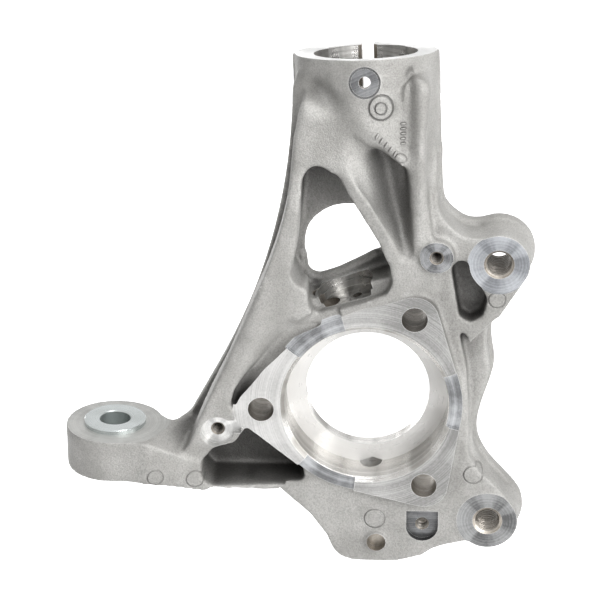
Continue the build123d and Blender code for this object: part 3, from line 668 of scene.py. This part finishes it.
def finishCast(material):
    tree = material.node_tree
    shader = tree.nodes["Principled BSDF"]
    grain = useGroup(tree, grainGroup, Grain=castLook["grain"])
    shape = useGroup(tree, paintedLightGroup, Width=0.0011, Reach=0.03)
    specks = calc(tree, "MULTIPLY", calc(tree, "SUBTRACT", 1.0, grain["Specks"]), 0.3)
    colour = blendColour(tree, grain["Clouds"], castLook["dark"], castLook["light"])
    colour = blendColour(tree, specks, colour, castLook["speck"])
    # painted highlight on sharp edges, then painted shade deep in corners and pockets
    colour = blendColour(tree, calc(tree, "MULTIPLY", shape["Edge"], 0.45), colour, castLook["edge"])
    colour = blendColour(tree, calc(tree, "MULTIPLY", shape["PaintedShadeMask"], 0.95), colour, castLook["hollow"])
    height = grain["Height"]
    lines = 0.0
    for x, y, z, radius, line, force in castMarks.values():
        mark = useGroup(tree, ringGroup, Centre=(x * mm, y * mm, z * mm), Radius=radius, Line=line)
        height = calc(tree, "MULTIPLY_ADD", mark["Inside"], castLook["markRise"], height)
        height = calc(tree, "MULTIPLY_ADD", mark["Ring"], -castLook["markRise"] * force, height)
        lines = calc(tree, "MAXIMUM", lines, calc(tree, "MULTIPLY", mark["Ring"], force * castLook["markGrooveShade"]))
    # the grooves of the marks are painted darker: painted shade in the groove
    colour = blendColour(tree, lines, colour, castLook["hollow"])
    tree.links.new(colour, shader.inputs["Base Color"])
    rough = remap(tree, grain["Specks"], 0.0, 1.0, castLook["roughness"] + 0.1, castLook["roughness"])
    tree.links.new(rough, shader.inputs["Roughness"])
    shader.inputs["Metallic"].default_value = castLook["metallic"]
    bump = addNode(tree, "ShaderNodeBump", {"Height": height, "Strength": 1.0, "Distance": castLook["bump"]})
    tree.links.new(bump.outputs[0], shader.inputs["Normal"])


# machined finishes: plain and second tone, centre of the cutter in mm, the axes that its lines and its spokes
# go by, number of spokes, roughness and metallic
machinedLook = {
    "hubFace": ((0.60, 0.595, 0.585, 1), (0.24, 0.238, 0.232, 1),
                (0, 0, 0), (1, 0, 1), (1, 0, 1), 1.4, 0.36, 0.8),
    "turnedBore": ((0.92, 0.905, 0.88, 1), (0.30, 0.288, 0.27, 1),
                   (0, 0, 0), (0, 1, 0), (1, 0, 1), 2.4, 0.22, 0.9),
    "sensorFace": ((0.6, 0.59, 0.57, 1), (0.2, 0.194, 0.185, 1),
                   (-9.1, 13.5, 0), (1, 1, 0), (1, 1, 0), 1.8, 0.32, 0.8),
    # lighter copy of the turned finish, painted light for turned faces that look towards the lamps
    "shoulderRing": ((0.92, 0.91, 0.89, 1), (0.84, 0.83, 0.81, 1),
                     (0, 0, 0), (1, 0, 1), (1, 0, 1), 2.0, 0.3, 0.2),
    "drilledHole": ((0.74, 0.68, 0.60, 1), (0.2, 0.18, 0.155, 1),
                    (0, 0, 0), (0, 1, 0), (1, 0, 1), 3.0, 0.34, 0.75),
    "reliefFace": ((0.50, 0.51, 0.525, 1), (0.16, 0.163, 0.168, 1),
                   (0, 0, 0), (1, 0, 1), (1, 0, 1), 3.0, 0.4, 0.7),
    # painted light and shade: the upper ear face is a lighter copy, the lower one a darker copy of the same face
    "upperEarFace": ((0.46, 0.475, 0.50, 1), (0.2, 0.208, 0.222, 1),
                     (64.5, 0, 76.0), (1, 0, 1), (1, 0, 1), 1.6, 0.38, 0.7),
    "lowerEarFace": ((0.34, 0.344, 0.345, 1), (0.11, 0.111, 0.112, 1),
                     (62.0, 0, -66.0), (1, 0, 1), (1, 0, 1), 1.6, 0.38, 0.7),
    "eyeFace": ((0.60, 0.60, 0.58, 1), (0.42, 0.42, 0.405, 1),
                (-127.7, 12.0, 0), (1, 1, 0), (1, 1, 0), 1.4, 0.36, 0.6),
    "bossFace": ((0.80, 0.796, 0.78, 1), (0.48, 0.478, 0.47, 1),
                 (-74.5, 0, -14.5), (1, 0, 1), (1, 0, 1), 1.6, 0.36, 0.7),
    "shadedBoss": ((0.36, 0.366, 0.375, 1), (0.11, 0.112, 0.116, 1),
                   (33.8, 0, 81.4), (1, 0, 1), (1, 0, 1), 1.6, 0.4, 0.7),
    "clampTop": ((0.84, 0.84, 0.83, 1), (0.74, 0.74, 0.73, 1),
                 (-3.0, 40.0, 0), (1, 1, 0), (1, 1, 0), 1.6, 0.36, 0.5),
    "clampBore": ((0.66, 0.65, 0.63, 1), (0.26, 0.255, 0.245, 1),
                  (-3.0, 40.0, 0), (0, 0, 1), (1, 1, 0), 3.2, 0.3, 0.8),
}

# near-white painted highlight for sharp machined edges, near-black painted shade for holes and pockets
machinedEdge, machinedPaintedShade = (0.88, 0.88, 0.87, 1), (0.06, 0.057, 0.052, 1)


def finishMachined(material):
    plain, second, centre, squash, turn, spokes, rough, metallic = machinedLook[material.name]
    # only holes and the shaded bosses get painted shade deep inside
    hollow = 0.45 if material.name in ("drilledHole", "shadedBoss") else 0.0
    calm = material.name in ("turnedBore", "clampTop", "clampBore", "shoulderRing", "sensorFace")
    patchy = 0.175 if calm else 0.56
    tree = material.node_tree
    shader = tree.nodes["Principled BSDF"]
    marks = useGroup(tree, marksGroup, Centre=tuple(v * mm for v in centre), Squash=squash, Pitch=0.8, Round=turn,
                     Spokes=spokes)
    shape = useGroup(tree, paintedLightGroup, Width=0.0006, Reach=0.03)
    tone = calc(tree, "MULTIPLY_ADD", marks["Rings"], 0.35, calc(tree, "MULTIPLY", marks["Sweep"], 0.65))
    if material.name == "hubFace":
        # painted light: the flange face is painted lighter towards the left lobe and darker towards the right
        side = addNode(tree, "ShaderNodeSeparateXYZ", {"Vector": objectSpot(tree)}).outputs["X"]
        tone = calc(tree, "MULTIPLY_ADD", remap(tree, side, -0.05, 0.03), 0.6, calc(tree, "MULTIPLY", tone, 0.4))
    tone = calc(tree, "MULTIPLY_ADD", calc(tree, "SUBTRACT", marks["Patches"], 0.5), patchy, tone, clamp=True)
    colour = blendColour(tree, tone, plain, second)
    # painted highlight on sharp edges, then painted shade in holes
    colour = blendColour(tree, calc(tree, "MULTIPLY", shape["Edge"], 0.75), colour, machinedEdge)
    colour = blendColour(tree, calc(tree, "MULTIPLY", shape["PaintedShadeMask"], hollow), colour, machinedPaintedShade)
    tree.links.new(colour, shader.inputs["Base Color"])
    tree.links.new(remap(tree, tone, 0.0, 1.0, rough - 0.06, rough + 0.12), shader.inputs["Roughness"])
    shader.inputs["Metallic"].default_value = metallic
    height = calc(tree, "MULTIPLY_ADD", marks["Patches"], 2.0, marks["Height"])
    bump = addNode(tree, "ShaderNodeBump", {"Height": height, "Strength": 0.8, "Distance": 0.00003})
    tree.links.new(bump.outputs[0], shader.inputs["Normal"])


for material in finishes:
    material.use_nodes = True
    if material.name == "castSkin":
        finishCast(material)
    else:
        finishMachined(material)
print("finishes:", len(finishes))

# the darkest colour is painted shade for the bush's hollows
bushLook = {"zinc": (0.66, 0.70, 0.70, 1), "worn": (0.52, 0.55, 0.54, 1), "hollow": (0.2, 0.23, 0.22, 1),
            "centre": (eyeSize["x"], eyeSize["y"], 0), "metallic": 0.8}


def finishBush(bush):
    material = bpy.data.materials.new("bushZinc")
    material.use_nodes = True
    tree = material.node_tree
    shader = tree.nodes["Principled BSDF"]
    centre = tuple(v * mm for v in bushLook["centre"])
    marks = useGroup(tree, marksGroup, Centre=centre, Squash=(1, 1, 0), Pitch=0.6)
    shape = useGroup(tree, paintedLightGroup, Width=0.0005, Reach=0.02)
    grain = useGroup(tree, grainGroup, Grain=1.6)
    colour = blendColour(tree, grain["Clouds"], bushLook["worn"], bushLook["zinc"])
    # painted shade deep in the bush's hollows
    colour = blendColour(tree, calc(tree, "MULTIPLY", shape["PaintedShadeMask"], 0.25), colour, bushLook["hollow"])
    tree.links.new(colour, shader.inputs["Base Color"])
    tree.links.new(remap(tree, marks["Rings"], 0.0, 1.0, 0.24, 0.34), shader.inputs["Roughness"])
    shader.inputs["Metallic"].default_value = bushLook["metallic"]
    bump = addNode(tree, "ShaderNodeBump", {"Height": marks["Height"], "Strength": 0.5, "Distance": 0.00002})
    tree.links.new(bump.outputs[0], shader.inputs["Normal"])
    bush.data.materials.clear()
    bush.data.materials.append(material)
    print("bush:", len(bush.data.polygons), "faces")


finishBush(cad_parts["steering_arm_bush"])

# Raised bars that the mould leaves, set on the skin by rays: first place and step of a row, number, way that a
# bar lies, and its size
hatchSize = {
    "ridgeHatch": {"Start": (3.9, -40.0, 143.6), "Step": (2.2, 0.0, -2.3), "Count": 5, "Lie": (0.5, 0.0, 0.87),
                   "Length": 3.6, "Width": 1.4, "Rise": 2.0},
    "ribHatch": {"Start": (16.4, -40.0, 148.4), "Step": (0.0, 0.0, -2.4), "Count": 5, "Lie": (1.0, 0.0, 0.05),
                 "Length": 3.2, "Width": 1.3, "Rise": 2.0},
    "ridgeLump": {"Start": (15.6, -40.0, 132.0), "Step": (0.0, 0.0, -2.0), "Count": 1, "Lie": (1.0, 0.0, -0.3),
                  "Length": 6.4, "Width": 4.4, "Rise": 3.0},
}


def hatchTree():
    tree = bpy.data.node_groups.new("castHatch", "GeometryNodeTree")
    kinds = {"Skin": "Object", "Start": "Vector", "Step": "Vector", "Count": "Int", "Lie": "Vector",
             "Length": "Float", "Width": "Float", "Rise": "Float", "Finish": "Material"}
    sockets = {}
    for label, kind in kinds.items():
        socket = tree.interface.new_socket(name=label, in_out="INPUT", socket_type="NodeSocket" + kind)
        sockets[label] = socket.identifier
    tree.interface.new_socket(name="Geometry", in_out="OUTPUT", socket_type="NodeSocketGeometry")
    given, result = tree.nodes.new("NodeGroupInput").outputs, tree.nodes.new("NodeGroupOutput").inputs

    def add(kind, inputs, **settings):
        return addNode(tree, kind, inputs, **settings).outputs

    row = add("GeometryNodeMeshLine", {"Count": given["Count"], "Start Location": given["Start"],
                                       "Offset": given["Step"]}, mode="OFFSET")
    skin = add("GeometryNodeObjectInfo", {"Object": given["Skin"]}, transform_space="RELATIVE")
    hit = add("GeometryNodeRaycast", {"Target Geometry": skin["Geometry"], "Ray Direction": (0, 1, 0),
                                      "Ray Length": 0.2})
    # the hit is read before the points move, so the way it faces is kept on them
    kept = add("GeometryNodeStoreNamedAttribute", {"Geometry": row[0], "Name": "lean", "Value": hit["Hit Normal"]},
               data_type="FLOAT_VECTOR", domain="POINT")
    placed = add("GeometryNodeSetPosition", {"Geometry": kept[0], "Selection": hit["Is Hit"],
                                             "Position": hit["Hit Position"]})
    ball = add("GeometryNodeMeshUVSphere", {"Segments": 16, "Rings": 10, "Radius": 0.5})
    size = add("ShaderNodeCombineXYZ", {"X": given["Length"], "Y": given["Width"], "Z": given["Rise"]})
    bar = add("GeometryNodeTransform", {"Geometry": ball[0], "Scale": size[0]})
    lean = add("GeometryNodeInputNamedAttribute", {"Name": "lean"}, data_type="FLOAT_VECTOR")
    stand = add("FunctionNodeAlignRotationToVector", {"Vector": lean[0]}, axis="Z")
    turn = add("FunctionNodeAlignRotationToVector", {"Rotation": stand[0], "Vector": given["Lie"]}, axis="X",
               pivot_axis="Z")
    bars = add("GeometryNodeInstanceOnPoints", {"Points": placed[0], "Instance": bar[0], "Rotation": turn[0]})
    real = add("GeometryNodeRealizeInstances", {"Geometry": bars[0]})
    smooth = add("GeometryNodeSetShadeSmooth", {"Geometry": real[0]})
    painted = add("GeometryNodeSetMaterial", {"Geometry": smooth[0], "Material": given["Finish"]})
    tree.links.new(painted[0], result[0])
    return tree, sockets


def makeHatch(casting):
    tree, sockets = hatchTree()
    for name, sizes in hatchSize.items():
        obj = link(bpy.data.objects.new(name, bpy.data.meshes.new(name)))
        rows = obj.modifiers.new("rows", "NODES")
        rows.node_group = tree
        for label, value in sizes.items():
            if label in ("Start", "Step"):
                value = [v * mm for v in value]
            elif label in ("Length", "Width", "Rise"):
                value = value * mm
            rows[sockets[label]] = value
        rows[sockets["Skin"]] = casting
        rows[sockets["Finish"]] = finishes[0]
        bake(obj)
        print(name, len(obj.data.polygons), "faces")
        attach(obj, "root")


makeHatch(casting)


def makeSensorSeat():
    # turned seat of the wheel speed sensor: a floor with two holes and a stepped round wall behind it
    sensor, inset = sensorSize, 0.15
    low, high = sensor["seatHeight"], sensor["seatHeight"] + sensor["stepHeight"]
    seat = newObject("sensorSeat", prism(sensorPlace, seatOutline(sensor["stepRadius"] + 0.7), -0.8, high))
    giveFinishes(seat, "sensorFace")
    machine(seat, [(prism(sensorPlace, seatOutline(sensor["seatRadius"] - inset), 0.1, low + 1), "sensorFace"),
                   (prism(sensorPlace, seatOutline(sensor["stepRadius"] - inset), low, 12), "sensorFace"),
                   (slab(sensorPlace, -30, 50, -20, -sensor["seatFront"], -3, 12), "sensorFace"),
                   (disc(sensorPlace, sensor["holeRadius"], -4, 4, 64), "drilledHole"),
                   (disc(screwPlace, sensor["screwRadius"], -4, 4, 40), "drilledHole")])
    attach(seat, "root")
    print("sensor seat:", len(seat.data.polygons), "faces")


makeSensorSeat()

# Floor well below the part, which hangs from its clamp
floorSize = {"half": 6, "height": -0.45, "paint": (0.9, 0.9, 0.9, 1), "roughness": 0.9, "mirrored": 1.0}


def seenBy(tree, glossy):
    # 1 for what the camera sees, straight or through glass, and glossy for what metal mirrors
    path = addNode(tree, "ShaderNodeLightPath").outputs
    straight = calc(tree, "MAXIMUM", path["Is Camera Ray"], path["Is Transmission Ray"])
    return calc(tree, "MAXIMUM", straight, calc(tree, "MULTIPLY", path["Is Glossy Ray"], glossy))


def makeFloor():
    bm = bmesh.new()
    bmesh.ops.create_grid(bm, x_segments=1, y_segments=1, size=floorSize["half"])
    bm.transform(Matrix.Translation((0, 0, floorSize["height"])))
    floor = newObject("floor", bm)
    material = bpy.data.materials.new("floorPaint")
    material.use_nodes = True
    shader = material.node_tree.nodes["Principled BSDF"]
    shader.inputs["Base Color"].default_value = floorSize["paint"]
    shader.inputs["Roughness"].default_value = floorSize["roughness"]
    shader.inputs["Emission Color"].default_value = (1, 1, 1, 1)
    feed(material.node_tree, shader.inputs["Emission Strength"], seenBy(material.node_tree, floorSize["mirrored"]))
    floor.data.materials.append(material)


makeFloor()

# Studio light: strengths for the backdrop, and place, size and power of each lamp
studio = {"ambient": 0.08, "mirrored": 0.9, "overhead": ((0.3, -0.1, 1.6), 0.9, 0.8, 13),
          "front": ((0.9, -1.3, 0.75), 0.9, 0.9, 18), "left": ((-1.4, -1.0, 0.8), 0.7, 0.9, 1.2),
          "right": ((1.5, -0.55, 0.35), 0.7, 0.9, 6), "behind": ((-0.4, 1.6, -0.2), 1.2, 0.6, 5),
          "aim": (0, 0, 0.04)}
world = bpy.data.worlds.new("studio")
bpy.context.scene.world = world
world.use_nodes = True
tree = world.node_tree
background = tree.nodes["Background"]
background.inputs["Color"].default_value = (1, 1, 1, 1)
feed(tree, background.inputs["Strength"], calc(tree, "MAXIMUM", seenBy(tree, studio["mirrored"]), studio["ambient"]))


def softbox(name, place, target, width, height, power):
    light = bpy.data.lights.new(name, "AREA")
    light.shape = "RECTANGLE"
    light.size, light.size_y = width, height
    light.energy = power
    lamp = link(bpy.data.objects.new(name, light))
    lamp.location = place
    lamp.rotation_euler = (Vector(target) - Vector(place)).to_track_quat("-Z", "Y").to_euler()


lamps = ("overhead", "front", "left", "right", "behind")
for name in lamps:
    place, width, height, power = studio[name]
    softbox(name, place, studio["aim"], width, height, power)
print("studio:", len(lamps), "lamps")

photoView = {"lens": 192, "sensor": 36, "place": (0.042268, -1.439938, 0.699060), "tilt": 66, "turn": 3}
lens = bpy.data.cameras.new("photoView")
lens.lens = photoView["lens"]
lens.sensor_width = photoView["sensor"]
camera = link(bpy.data.objects.new("photoView", lens))
camera.location = photoView["place"]
camera.rotation_euler = (math.radians(photoView["tilt"]), 0, math.radians(photoView["turn"]))
bpy.context.scene.camera = camera
bpy.context.scene.view_settings.view_transform = "Standard"
